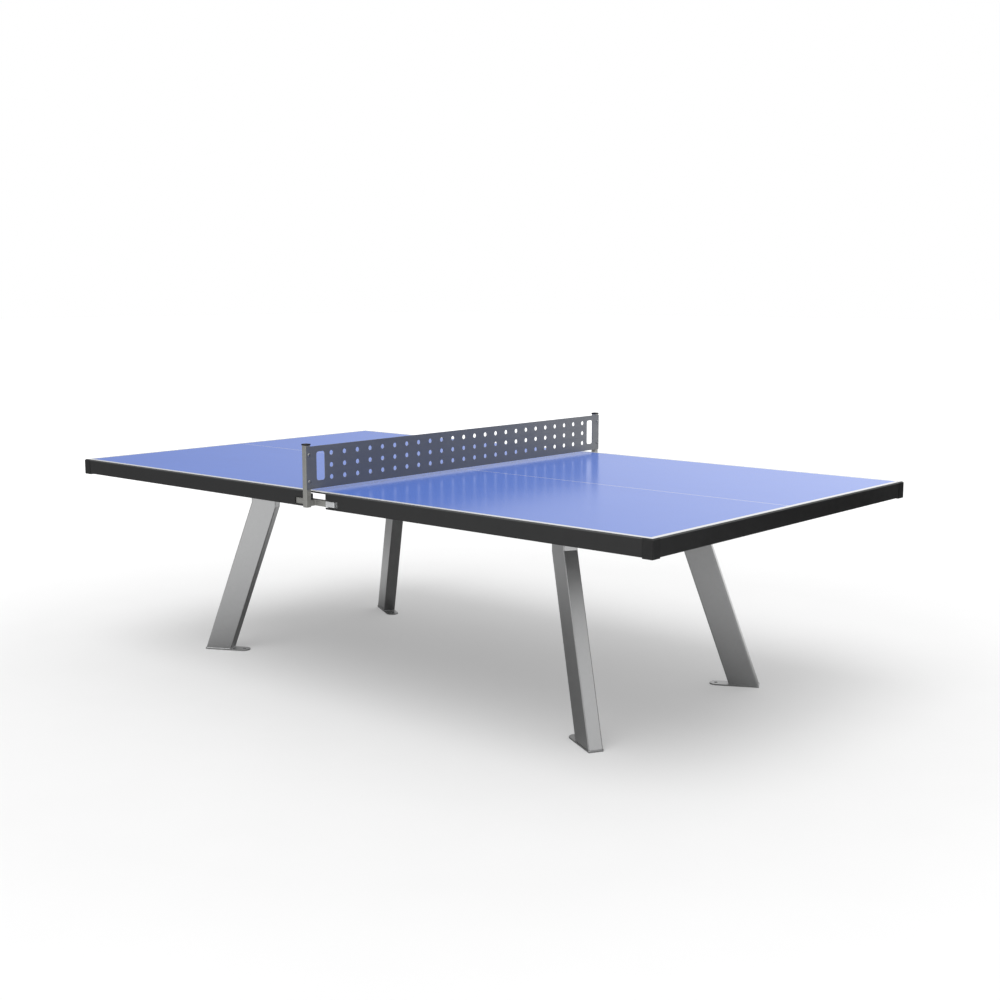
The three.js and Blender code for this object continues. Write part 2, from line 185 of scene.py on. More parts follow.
def baked(piece):
    """The piece with its modifiers applied to its mesh."""
    bpy.context.view_layer.update()
    depsgraph = bpy.context.evaluated_depsgraph_get()
    mesh = bpy.data.meshes.new_from_object(piece.evaluated_get(depsgraph))
    piece.modifiers.clear()
    piece.data = mesh
    return piece


def shaded(piece, angle=32):
    """The piece shaded smooth below the angle, with its flat faces kept flat."""
    piece.data.shade_smooth()
    piece.data.set_sharp_from_angle(angle=math.radians(angle))
    weighted = piece.modifiers.new("flat_faces", "WEIGHTED_NORMAL")
    weighted.weight = FLAT_FACE_WEIGHT
    weighted.keep_sharp = True
    return baked(piece)


def eased(piece, width, segments=2, angle=40):
    """The piece with its edges rounded over."""
    bevel = piece.modifiers.new("edges", "BEVEL")
    bevel.width = width
    bevel.segments = segments
    bevel.limit_method = "ANGLE"
    bevel.angle_limit = math.radians(angle)
    return shaded(baked(piece))


def finished(piece, slot, *nodes):
    """The piece stands for these CAD nodes and rides with the table. slot is not used."""
    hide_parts(*nodes)
    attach(piece, "root")
    return piece


BLUE_LAMINATE = laminate()

for half, sx in HALVES.items():
    outline = [(panel_low.x, -HALF_WIDTH), (HALF_LENGTH, -HALF_WIDTH),
               (HALF_LENGTH, HALF_WIDTH), (panel_low.x, HALF_WIDTH)]
    loops = [[(sx * x, y, z) for x, y in outline] for z in (PANEL_UNDER, SURFACE)]
    panel = eased(skin(f"laminate_{half}", loops, BLUE_LAMINATE), PANEL_EDGE, angle=50)
    finished(panel, "blue_laminate", f"half_top_{half}")

# ---- rim ------------------------------------------------------------------------------------
# Four side rails and two end rails, folded from 2.5 mm steel and powder coated black: a lip level
# with the playing surface, a face, a flange below and a shelf for the laminate. Side rails stop
# short of the net line, with a cut-out at that end. Moulded caps cover the corners, a little proud.

CLEARANCE = 0.3 * MM
RIM_WALL = 2.5 * MM
RIM_SHELF = 28 * MM
RIM_FLANGE = 26 * MM
LIP_FLAT = 1.0 * MM
LIP_DROP = 4.2 * MM
LIP_BLUR = 0.4 * MM
CAP_FLANGE = 15 * MM
CAP_TURN = 2.2 * MM
CAP_MERGE = 0.005 * MM
NOTCH_REACH = {"left": 98 * MM, "right": 113 * MM}
NOTCH_LOW = 6.5 * MM
NOTCH_OVER_BAR = 2.5 * MM
NOTCH_PAST_END = 5 * MM
NOTCH_OUT = (1 * MM, 9 * MM)       # from and to, outwards of the laminate's edge


def powder_coat():
    """Black powder coat, with a painted highlight in grey on the bevel of the lip."""
    finish = Finish("black_steel", IOR=1.5, Specular_IOR_Level=0.40)
    cloud = finish.noise(5.0, 4.0, 0.6)
    coat = finish.mix(cloud, (0.0075, 0.0077, 0.0080, 1), (0.0110, 0.0112, 0.0115, 1))
    height = finish.node("SeparateXYZ", {0: finish.place}).outputs[2]
    lip = SURFACE - LIP_DROP
    # painted highlight: the coat is painted grey above the lip's bevel line, where it would catch
    # the light
    lip_highlight = finish.ramp(height, lip - LIP_BLUR, lip + LIP_BLUR)
    finish.join(finish.mix(lip_highlight, coat, (0.055, 0.056, 0.057, 1)), "Base Color")
    finish.join(finish.ramp(finish.noise(30.0, 4.0, 0.6), 0.3, 0.7, 0.40, 0.50), "Roughness")
    orange_peel = finish.sum(
        "MULTIPLY_ADD", finish.noise(1400.0, 1.0), 0.35, finish.noise(450.0, 2.0, 0.4))
    finish.bump(orange_peel, 0.25, 0.06 * MM)
    return finish.material


def moulded_plastic():
    finish = Finish("black_plastic", IOR=1.48, Specular_IOR_Level=0.35)
    cloud = finish.noise(14.0, 3.0, 0.5)
    low, high = (0.0060, 0.0062, 0.0065, 1), (0.0090, 0.0092, 0.0095, 1)
    finish.join(finish.mix(cloud, low, high), "Base Color")
    finish.join(finish.ramp(finish.noise(60.0, 3.0, 0.6), 0.3, 0.7, 0.42, 0.54), "Roughness")
    grain = finish.node("TexVoronoi", {"Vector": finish.place, "Scale": 1100.0}).outputs["Distance"]
    finish.bump(grain, 0.30, 0.05 * MM)
    return finish.material


def rounded(outline, radius, steps=3):
    """A closed outline with its corners turned into arcs. radius is one number, or one each."""
    radii = radius if isinstance(radius, (list, tuple)) else [radius] * len(outline)
    made = []
    for i, corner in enumerate(outline):
        here = Vector(corner)
        before = Vector(outline[i - 1]) - here
        after = Vector(outline[(i + 1) % len(outline)]) - here
        half_turn = before.angle(after) / 2
        longest = 0.45 * min(before.length, after.length)
        reach = min(radii[i] / math.tan(half_turn), longest)
        if reach < 1e-6:
            made.append(tuple(here))
            continue
        bulge = reach * math.tan(half_turn)
        inwards = (before.normalized() + after.normalized()).normalized()
        centre = here + inwards * math.hypot(reach, bulge)
        start = here + before.normalized() * reach - centre
        end = here + after.normalized() * reach - centre
        turn = start.angle_signed(end)
        for k in range(steps + 1):
            point = centre + start.copy() @ Matrix.Rotation(turn * k / steps, 2)
            made.append(tuple(point))
    return made


def rim_section(out, bottom, flange, shelf):
    """The rim's section as (outward, height), seen along the edge of the top."""
    under = PANEL_UNDER - CLEARANCE
    corners = [
        (CLEARANCE, SURFACE), (LIP_FLAT, SURFACE), (out, SURFACE - LIP_DROP), (out, bottom),
        (-flange, bottom), (-flange, bottom + RIM_WALL), (out - RIM_WALL, bottom + RIM_WALL),
        (out - RIM_WALL, under - RIM_WALL), (-shelf, under - RIM_WALL), (-shelf, under),
        (CLEARANCE, under),
    ]
    bends = [0.3, 0.6, 0.8, 2.8, 0.5, 0.5, 0.8, 0.8, 0.5, 0.5, 0.2]    # mm, at each corner
    return rounded(corners, [bend * MM for bend in bends])


def sweep(name, section, stations, material):
    """The section carried along stations, each a point on the edge of the top and its way out."""
    loops = [[(x + out_x * u, y + out_y * u, z) for u, z in section]
             for (x, y), (out_x, out_y) in stations]
    return skin(name, loops, material)


def box_object(name, low, high, material=None):
    spans = list(zip(low, high))
    corners = [(x, y, z) for x in spans[0] for y in spans[1] for z in spans[2]]
    faces = [(0, 1, 3, 2), (4, 6, 7, 5), (0, 4, 5, 1), (2, 3, 7, 6), (0, 2, 6, 4), (1, 5, 7, 3)]
    return mesh_object(name, corners, faces, material)


def corner_cover(name, sx, sy, section, start_x, start_y, steps=6):
    """The section turned round a corner of the top, on a mitre whose outside is rounded."""
    out = max(u for u, _ in section)
    loops = [[(sx * start_x, sy * (HALF_WIDTH + u), z) for u, z in section]]
    for i in range(steps + 1):
        angle = math.radians(90 - 90 * i / steps)
        loop = []
        for u, z in section:
            bend = max(CAP_TURN - (out - u), 0.0)
            x, y = HALF_LENGTH + u - bend, HALF_WIDTH + u - bend
            loop.append((sx * (x + bend * math.cos(angle)), sy * (y + bend * math.sin(angle)), z))
        loops.append(loop)
    loops.append([(sx * (HALF_LENGTH + u), sy * start_y, z) for u, z in section])
    piece = skin(name, loops, MOULDED_PLASTIC)
    shape = bmesh.new()
    shape.from_mesh(piece.data)
    bmesh.ops.remove_doubles(shape, verts=shape.verts, dist=CAP_MERGE)
    shape.to_mesh(piece.data)
    shape.free()
    return shaded(piece)


def cut(piece, *cutters):
    """The piece with the cutters' shapes taken out of it."""
    for cutter in cutters:
        boolean = piece.modifiers.new("cut", "BOOLEAN")
        boolean.operation = "DIFFERENCE"
        boolean.solver = "EXACT"
        boolean.object = cutter
    baked(piece)
    for cutter in cutters:
        bpy.data.objects.remove(cutter)
    return piece


POWDER_COAT = powder_coat()
MOULDED_PLASTIC = moulded_plastic()

rail_low, rail_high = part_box("side_rail_far_right")
end_low, end_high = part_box("end_rail_right")
cap_low, cap_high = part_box("corner_cap_far_right")
_, bar_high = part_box("post_bar_far")
RIM_BOTTOM = rail_low.z
rail_section = rim_section(end_high.x - HALF_LENGTH, RIM_BOTTOM, RIM_FLANGE, RIM_SHELF)
cap_section = rim_section(cap_high.x - HALF_LENGTH, cap_low.z, CAP_FLANGE, CAP_FLANGE)

for half, sx in HALVES.items():
    for side, sy in SIDES.items():
        ends = [((sx * x, sy * HALF_WIDTH), (0, sy)) for x in (rail_low.x, rail_high.x)]
        rail = sweep(f"rim_side_{side}_{half}", rail_section, ends, POWDER_COAT)
        notch_x = sorted((sx * (rail_low.x - NOTCH_PAST_END), sx * NOTCH_REACH[half]))
        notch_y = sorted(sy * (HALF_WIDTH + out) for out in NOTCH_OUT)
        notch = box_object(
            "notch", (notch_x[0], notch_y[0], RIM_BOTTOM + NOTCH_LOW),
            (notch_x[1], notch_y[1], bar_high.z + NOTCH_OVER_BAR))
        finished(shaded(cut(rail, notch)), "black_steel", f"side_rail_{side}_{half}")

        cap = corner_cover(f"corner_cover_{side}_{half}", sx, sy, cap_section, cap_low.x, cap_low.y)
        finished(cap, "black_plastic", f"corner_cap_{side}_{half}")

    ends = [((sx * HALF_LENGTH, y), (sx, 0)) for y in (end_low.y, end_high.y)]
    rail = sweep(f"rim_end_{half}", rail_section, ends, POWDER_COAT)
    finished(shaded(rail), "black_steel", f"end_rail_{half}")

# ---- cross members --------------------------------------------------------------------------
# Folded channels under the half tops, welded between the side rails: two narrow ones stiffen each
# sheet, and a wide one takes the legs. A flat strip backs the joint of the two half tops.

MERGE = 0.01 * MM
SAME_PLANE = math.radians(0.5)
RIB_EDGE = 0.9 * MM
BEAM_EDGE = 0.5 * MM
STRIP_EDGE = 0.4 * MM


def softened(name, width, material, node, segments=2):
    """A piece with the shape of this CAD node and its edges rounded over, kept in its box."""
    shape = bmesh.new()
    shape.from_mesh(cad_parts[node].data)
    bmesh.ops.remove_doubles(shape, verts=shape.verts, dist=MERGE)
    bmesh.ops.dissolve_limit(
        shape, angle_limit=SAME_PLANE, verts=shape.verts, edges=shape.edges)
    mesh = bpy.data.meshes.new(name)
    shape.to_mesh(mesh)
    shape.free()
    mesh.materials.append(material)
    piece = bpy.data.objects.new(name, mesh)
    bpy.context.scene.collection.objects.link(piece)
    piece = eased(piece, width, segments)
    low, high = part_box(node)
    for vertex in piece.data.vertices:
        vertex.co = [min(max(v, a), b) for v, a, b in zip(vertex.co, low, high)]
    return piece


for half in HALVES:
    for member in ("inner_rib", "outer_rib"):
        channel = softened(f"channel_{member}_{half}", RIB_EDGE, POWDER_COAT, f"{member}_{half}")
        finished(channel, "black_steel", f"{member}_{half}")
    beam = softened(f"channel_leg_beam_{half}", BEAM_EDGE, POWDER_COAT, f"leg_beam_{half}")
    finished(beam, "black_steel", f"leg_beam_{half}")
strip = softened("strip_under_joint", STRIP_EDGE, POWDER_COAT, "joint_strip")
finished(strip, "black_steel", "joint_strip")

# ---- legs -----------------------------------------------------------------------------------
# Each leg is a 100 x 50 tube, hot-dip galvanised: a short upright stub under a bolted plate, then
# a mitred crank that leans the leg outwards in its own wide plane. It is welded to a foot plate
# with a round-ended tab and a hole for a ground anchor.

LEG_TURN = math.radians(28.5)
LEG_KINK = Vector((738, 385.4, 594.5)) * MM
LEG_SPREAD = 210 * MM
LEG_WIDTH = 100 * MM
LEG_DEPTH = 50 * MM
LEG_WALL = 3 * MM
LEG_BEND = 4 * MM
LEG_INNER_BEND = 1.3 * MM
LEG_BEND_STEPS = 8
LEG_IN_PLATE = 1 * MM              # how far the tube goes into its top plate
LEG_CRISP = 15                     # degrees: the crank's mitre stays crisp, long corners round
LEG_PLATE = Vector((116, 108, 6)) * MM
LEG_PLATE_CORNER = 8 * MM
LEG_PLATE_EDGE = 0.6 * MM
LEG_BOLT_SPACING = (72 * MM, 80 * MM)
LEG_BOLT_HOLE = 5.5 * MM
DRILL_PAST = 5 * MM
FOOT_TAB = 73 * MM
FOOT_EDGE = 0.7 * MM
FOOT_HOLE_IN = 50 * MM
FOOT_HOLE_RADIUS = 6.5 * MM


def galvanised(name, bright, dark, spangle_size, metallic=0.93, sheen=(0.33, 0.38)):
    """Zinc on steel: faint crystals, cloudy tone and a fine drawn grain."""
    finish = Finish(name, Metallic=metallic, IOR=1.5)
    ripple = finish.node("TexNoise", {"Vector": finish.place, "Scale": 35.0, "Detail": 2.0})
    warp = ripple.outputs["Color"]
    bent = finish.node("VectorMath", {0: warp, "Scale": 0.012}, operation="SCALE").outputs[0]
    shifted = finish.node("VectorMath", {0: finish.place, 1: bent}, operation="ADD").outputs[0]
    crystal = finish.node("TexVoronoi", {"Vector": shifted, "Scale": 1 / spangle_size})
    tone = finish.node("SeparateColor", {0: crystal.outputs["Color"]}).outputs[0]
    cloud = finish.noise(7.0, 4.0, 0.6)
    blend = finish.sum("MULTIPLY_ADD", tone, 0.35, finish.sum("MULTIPLY", cloud, 0.65))
    finish.join(finish.mix(blend, dark, bright), "Base Color")
    finish.join(finish.ramp(blend, 0.2, 0.8, *sheen), "Roughness")
    finish.bump(finish.noise(520.0, 3.0, 0.6), 0.08, 0.03 * MM)
    return finish.material


GALVANISED = galvanised("galvanised", (0.425, 0.428, 0.431, 1), (0.385, 0.387, 0.389, 1), 12 * MM)

_, plate_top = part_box("leg_far_right")
PLATE_TOP = plate_top.z
PLATE_UNDER = PLATE_TOP - LEG_PLATE.z
_, foot_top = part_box("foot_plate_far_right")
FOOT_THICK = foot_top.z
LEG_LEAN = math.atan(LEG_SPREAD / LEG_KINK.z)
FOOT_U = (LEG_KINK.z - FOOT_THICK) * math.tan(LEG_LEAN)


def leg_point(sx, sy, u, w, z):
    """A point of a leg: u outwards along its wide plane, w from its middle plane inwards."""
    in_w = w + LEG_DEPTH / 2
    x = LEG_KINK.x + u * math.cos(LEG_TURN) + in_w * math.sin(LEG_TURN)
    y = LEG_KINK.y + u * math.sin(LEG_TURN) - in_w * math.cos(LEG_TURN)
    return (sx * x, sy * y, z)


def leg_loop(sx, sy, centre, half_u, half_w, z, bend, rise=0.0):
    """A rectangular loop with round corners, tilted along u by rise."""
    corners = [(-half_u, -half_w), (half_u, -half_w), (half_u, half_w), (-half_u, half_w)]
    return [leg_point(sx, sy, centre + u, w, z + rise * u / half_u)
            for u, w in rounded(corners, bend, LEG_BEND_STEPS)]


def leg_tube(name, sx, sy):
    """The tube outside and back up inside, open at the foot and at the plate."""
    mitre = math.tan(LEG_LEAN / 2)
    foot_z = FOOT_THICK + CLEARANCE
    loops = []
    for inset, bend in ((0.0, LEG_BEND), (LEG_WALL, LEG_INNER_BEND)):
        half_u, half_w = LEG_WIDTH / 2 - inset, LEG_DEPTH / 2 - inset
        side = [
            leg_loop(sx, sy, FOOT_U, half_u / math.cos(LEG_LEAN), half_w, foot_z, bend),
            leg_loop(sx, sy, 0, half_u, half_w, LEG_KINK.z, bend, half_u * mitre),
            leg_loop(sx, sy, 0, half_u, half_w, PLATE_UNDER + LEG_IN_PLATE, bend),
        ]
        loops += side if inset == 0.0 else side[::-1]
    return skin(name, loops, GALVANISED, ring=True)


def drill(x, y, low, high, radius, sides=32):
    loops = [[(x + radius * math.cos(2 * math.pi * i / sides),
               y + radius * math.sin(2 * math.pi * i / sides), z) for i in range(sides)]
             for z in (low, high)]
    return skin("drill", loops, None)


def joined(name, *pieces):
    """One object with the meshes of several."""
    shape = bmesh.new()
    for piece in pieces:
        shape.from_mesh(piece.data)
    mesh = bpy.data.meshes.new(name)
    shape.to_mesh(mesh)
    shape.free()
    mesh.materials.append(pieces[0].data.materials[0])
    for piece in pieces:
        bpy.data.objects.remove(piece)
    made = bpy.data.objects.new(name, mesh)
    bpy.context.scene.collection.objects.link(made)
    return made


def leg_plate(sx, sy):
    loops = [leg_loop(sx, sy, 0, LEG_PLATE.x / 2, LEG_PLATE.y / 2, z, LEG_PLATE_CORNER)
             for z in (PLATE_UNDER, PLATE_TOP)]
    plate = skin("plate", loops, GALVANISED)
    reach_u, reach_w = (spacing / 2 for spacing in LEG_BOLT_SPACING)
    holes = []
    for u in (-reach_u, reach_u):
        for w in (-reach_w, reach_w):
            x, y, _ = leg_point(sx, sy, u, w, 0)
            holes.append(
                drill(x, y, PLATE_UNDER - DRILL_PAST, PLATE_TOP + DRILL_PAST, LEG_BOLT_HOLE))
    return eased(cut(plate, *holes), LEG_PLATE_EDGE)


def arc(centre, radius, start, end, steps):
    """Points on an arc in the plane, its angles in degrees, with both ends."""
    turns = [math.radians(start + (end - start) * i / steps) for i in range(steps + 1)]
    return [(centre[0] + radius * math.cos(a), centre[1] + radius * math.sin(a)) for a in turns]


def foot_plate(name, sx, sy):
    """The plate under a leg, its tab running inwards to a round end with the anchor hole."""
    half_u = LEG_WIDTH / 2 / math.cos(LEG_LEAN)
    half_w = LEG_DEPTH / 2
    foot_u = LEG_KINK.z * math.tan(LEG_LEAN)
    tab_end = foot_u - half_u - FOOT_TAB + half_w
    outline = [(foot_u + half_u, -half_w), (foot_u + half_u, half_w)]
    outline += arc((tab_end, 0), half_w, 90, 270, 24)
    loops = [[leg_point(sx, sy, u, w, z) for u, w in outline] for z in (0, FOOT_THICK)]
    plate = skin(name, loops, GALVANISED)
    x, y, _ = leg_point(sx, sy, foot_u - half_u - FOOT_HOLE_IN, 0, 0)
    hole = drill(x, y, -DRILL_PAST, FOOT_THICK + DRILL_PAST, FOOT_HOLE_RADIUS)
    return eased(cut(plate, hole), FOOT_EDGE)


for half, sx in HALVES.items():
    for side, sy in SIDES.items():
        place = f"{side}_{half}"
        tube = leg_tube("tube", sx, sy)
        leg = shaded(joined(f"cranked_leg_{place}", tube, leg_plate(sx, sy)), LEG_CRISP)
        finished(leg, "galvanised", f"leg_{place}")
        finished(foot_plate(f"anchor_plate_{place}", sx, sy), "galvanised", f"foot_plate_{place}")

# Six-sided zinc bolts with washers hold each leg plate to its beam, four to a plate, heads down.


class Tree:
    """A Geometry Nodes group with named inputs."""

    def __init__(self, name, **inputs):
        self.group = bpy.data.node_groups.new(name, "GeometryNodeTree")
        interface = self.group.interface
        interface.new_socket("Geometry", in_out="INPUT", socket_type="NodeSocketGeometry")
        interface.new_socket("Geometry", in_out="OUTPUT", socket_type="NodeSocketGeometry")
        self.inputs = {}
        for label, (kind, value) in inputs.items():
            socket = interface.new_socket(
                label.replace("_", " "), in_out="INPUT", socket_type="NodeSocket" + kind)
            if value is not None:
                socket.default_value = value
            self.inputs[label] = socket.identifier
        self.start = self.group.nodes.new("NodeGroupInput")
        self.geometry = self.start.outputs["Geometry"]

    def given(self, label):
        return self.start.outputs[label.replace("_", " ")]

    def node(self, kind, values=None, **settings):
        made = self.group.nodes.new(kind)
        for name, value in settings.items():
            setattr(made, name, value)
        for socket, value in (values or {}).items():
            sources = value if isinstance(value, list) else [value]
            for source in sources:
                if isinstance(source, bpy.types.NodeSocket):
                    self.group.links.new(source, made.inputs[socket])
                else:
                    made.inputs[socket].default_value = source
        return made

    def sum(self, operation, *values):
        return self.node("ShaderNodeMath", dict(enumerate(values)), operation=operation).outputs[0]

    def vector(self, x=0.0, y=0.0, z=0.0):
        return self.node("ShaderNodeCombineXYZ", {0: x, 1: y, 2: z}).outputs[0]

    def finish(self, geometry):
        """Ends the tree in plain geometry with its material."""
        real = self.node("GeometryNodeRealizeInstances", {"Geometry": geometry}).outputs[0]
        painted = self.node("GeometryNodeSetMaterial", {
            "Geometry": real, "Material": self.given("Material")})
        end = self.group.nodes.new("NodeGroupOutput")
        self.group.links.new(painted.outputs[0], end.inputs["Geometry"])

    def grown(self, piece, **values):
        """The tree run on a piece, with these inputs, and its result kept as a plain mesh."""
        modifier = piece.modifiers.new(self.group.name, "NODES")
        modifier.node_group = self.group
        for label, value in values.items():
            modifier[self.inputs[label]] = value
        return baked(piece)


def fastener_tree():
    """Copies of a fastener on every point, in a rectangle of four where the spacing isn't 0."""
    tree = Tree(
        "fasteners", Fastener=("Object", None), Spacing_X=("Float", 0.0), Spacing_Y=("Float", 0.0),
        Material=("Material", None))
    pattern = tree.node("GeometryNodeMeshGrid", {
        "Size X": tree.given("Spacing_X"), "Size Y": tree.given("Spacing_Y"),
        "Vertices X": 2, "Vertices Y": 2}).outputs["Mesh"]
    shape = tree.node(
        "GeometryNodeObjectInfo", {"Object": tree.given("Fastener")}).outputs["Geometry"]
    four = tree.node(
        "GeometryNodeInstanceOnPoints", {"Points": pattern, "Instance": shape}).outputs[0]
    turn = tree.node("GeometryNodeInputNamedAttribute", {"Name": "turn"}, data_type="FLOAT")
    placed = tree.node("GeometryNodeInstanceOnPoints", {
        "Points": tree.geometry, "Instance": four,
        "Rotation": tree.vector(z=turn.outputs["Attribute"])})
    tree.finish(placed.outputs[0])
    return tree


def lathed(name, outline, material, sides=32):
    """A closed shape turned about +Z from an outline of (radius, height), both ends on the axis."""
    turns = [2 * math.pi * i / sides for i in range(sides)]
    loops = []
    for radius, height in outline:
        r = max(radius, 1e-6)      # a point on the axis keeps a loop of its own
        loops.append([(r * math.cos(turn), r * math.sin(turn), height) for turn in turns])
    return skin(name, loops, material)


def points_object(name, points, turns):
    mesh = bpy.data.meshes.new(name)
    mesh.from_pydata(points, [], [])
    attribute = mesh.attributes.new("turn", "FLOAT", "POINT")
    attribute.data.foreach_set("value", turns)
    made = bpy.data.objects.new(name, mesh)
    bpy.context.scene.collection.objects.link(made)
    return made


ZINC = galvanised(
    "bright_zinc", (0.80, 0.81, 0.82, 1), (0.66, 0.67, 0.68, 1), 5 * MM,
    metallic=0.8, sheen=(0.30, 0.38))
FASTENERS = fastener_tree()
BOLT_ACROSS = 18 * MM
BOLT_HEAD = 5.5 * MM
BOLT_SHANK = 10 * MM
BOLT_LENGTH = 18 * MM
BOLT_CHAMFER = 1 * MM
SHANK_IN_HEAD = 1 * MM
WASHER = 21 * MM
WASHER_THICK = 1.6 * MM
WASHER_GAP = 0.1 * MM

head = lathed("head", [
    (0, -BOLT_HEAD), (0.40 * BOLT_ACROSS, -BOLT_HEAD), (0.5 * BOLT_ACROSS, -0.8 * BOLT_HEAD),
    (0.5 * BOLT_ACROSS, -WASHER_THICK), (0, -WASHER_THICK)], ZINC, 6)
washer_low, washer_high = -WASHER_THICK - WASHER_GAP, -WASHER_GAP
washer = lathed("washer", [
    (0, washer_low), (WASHER / 2, washer_low), (WASHER / 2, washer_high), (0, washer_high)], ZINC)
shank = lathed("shank", [
    (0, -SHANK_IN_HEAD), (BOLT_SHANK / 2, -SHANK_IN_HEAD),
    (BOLT_SHANK / 2, BOLT_LENGTH - BOLT_CHAMFER),
    (BOLT_SHANK / 2 - BOLT_CHAMFER, BOLT_LENGTH), (0, BOLT_LENGTH)], ZINC, 24)
bolt = joined("bolt", head, washer, shank)
plates = [(sx, sy) for sx in HALVES.values() for sy in SIDES.values()]
bolts = points_object(
    "leg_bolts",
    [leg_point(sx, sy, 0, 0, PLATE_UNDER - CLEARANCE) for sx, sy in plates],
    [sx * sy * LEG_TURN for sx, sy in plates])
bolts = shaded(FASTENERS.grown(
    bolts, Fastener=bolt, Material=ZINC,
    Spacing_X=LEG_BOLT_SPACING[0], Spacing_Y=LEG_BOLT_SPACING[1]))
bpy.data.objects.remove(bolt)
bolt_nodes = [f"leg_bolt_{side}_{half}_{i}" for side in SIDES for half in HALVES
              for i in range(1, 5)]
finished(bolts, "zinc", *bolt_nodes)

# Weld beads run round each tube where it meets its foot plate and its top plate.

BEAD_RADIUS = 2.2 * MM
BEAD_STEP = 1.6 * MM
BEAD_RIPPLE = 0.35
BEAD_SCALLOP = 0.16
BEAD_SEED = 3.0
BEAD_OFF_PLATE = 0.5 * MM


def bead_tree():
    """A rippled bead of weld metal along each edge loop."""
    tree = Tree(
        "weld_bead", Radius=("Float", BEAD_RADIUS), Step=("Float", BEAD_STEP),
        Ripple=("Float", BEAD_RIPPLE), Seed=("Float", 0.0), Material=("Material", None))
    line = tree.node("GeometryNodeMeshToCurve", {"Mesh": tree.geometry}).outputs["Curve"]
    even = tree.node(
        "GeometryNodeResampleCurve", {"Curve": line, "Length": tree.given("Step")},
        mode="LENGTH").outputs[0]
    spread = tree.node(
        "ShaderNodeTexNoise", {"W": tree.given("Seed"), "Scale": 260.0, "Detail": 1.0},
        noise_dimensions="4D").outputs[0]
    swing = tree.sum("MULTIPLY_ADD", tree.sum("SUBTRACT", spread, 0.5), tree.given("Ripple"), 1.0)
    index = tree.node("GeometryNodeInputIndex").outputs[0]
    scallop = tree.sum("MULTIPLY_ADD", tree.sum("MODULO", index, 2.0), BEAD_SCALLOP, swing)
    radius = tree.sum("MULTIPLY", scallop, tree.given("Radius"))
    ring = tree.node(
        "GeometryNodeCurvePrimitiveCircle", {"Resolution": 8, "Radius": 1.0}).outputs["Curve"]
    bead = tree.node(
        "GeometryNodeCurveToMesh", {"Curve": even, "Profile Curve": ring, "Scale": radius})
    tree.finish(bead.outputs[0])
    return tree


def loops_object(name, loops):
    points, edges = [], []
    for loop in loops:
        start = len(points)
        points += loop
        edges += [(start + i, start + (i + 1) % len(loop)) for i in range(len(loop))]
    mesh = bpy.data.meshes.new(name)
    mesh.from_pydata(points, edges, [])
    made = bpy.data.objects.new(name, mesh)
    bpy.context.scene.collection.objects.link(made)
    return made


BEADS = bead_tree()
seams = []
for sx, sy in plates:
    for centre, half_u, z in (
            (FOOT_U, LEG_WIDTH / 2 / math.cos(LEG_LEAN), FOOT_THICK + BEAD_OFF_PLATE),
            (0, LEG_WIDTH / 2, PLATE_UNDER - BEAD_OFF_PLATE)):
        seams.append(leg_loop(sx, sy, centre, half_u, LEG_DEPTH / 2, z, LEG_BEND))
beads = BEADS.grown(loops_object("leg_welds", seams), Material=GALVANISED, Seed=BEAD_SEED)
beads.data.shade_smooth()
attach(beads, "root")

# ---- net ------------------------------------------------------------------------------------
# A steel sheet with three rows of round holes and a tall slot at each end, screwed to two square
# posts. Each post stands on a bar that bridges the break in the rim, and ends in a plastic cap.

net_low, net_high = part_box("net_plate")
post_low, post_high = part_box("net_post_far")
HOLE_RADIUS = 8.25 * MM
HOLE_PITCH = 60 * MM
HOLE_COLUMNS = 24
HOLE_ROW_PITCH = 41 * MM
HOLE_ROWS = 3
HOLE_ROW_MIDDLE = 84 * MM
SLOT_Y = 738.5 * MM
SLOT_WIDTH = 37 * MM
SLOT_HEIGHT = 97.5 * MM
SLOT_MIDDLE = 84.5 * MM
SLOT_RADIUS = 9 * MM
NET_EDGE = 0.25 * MM


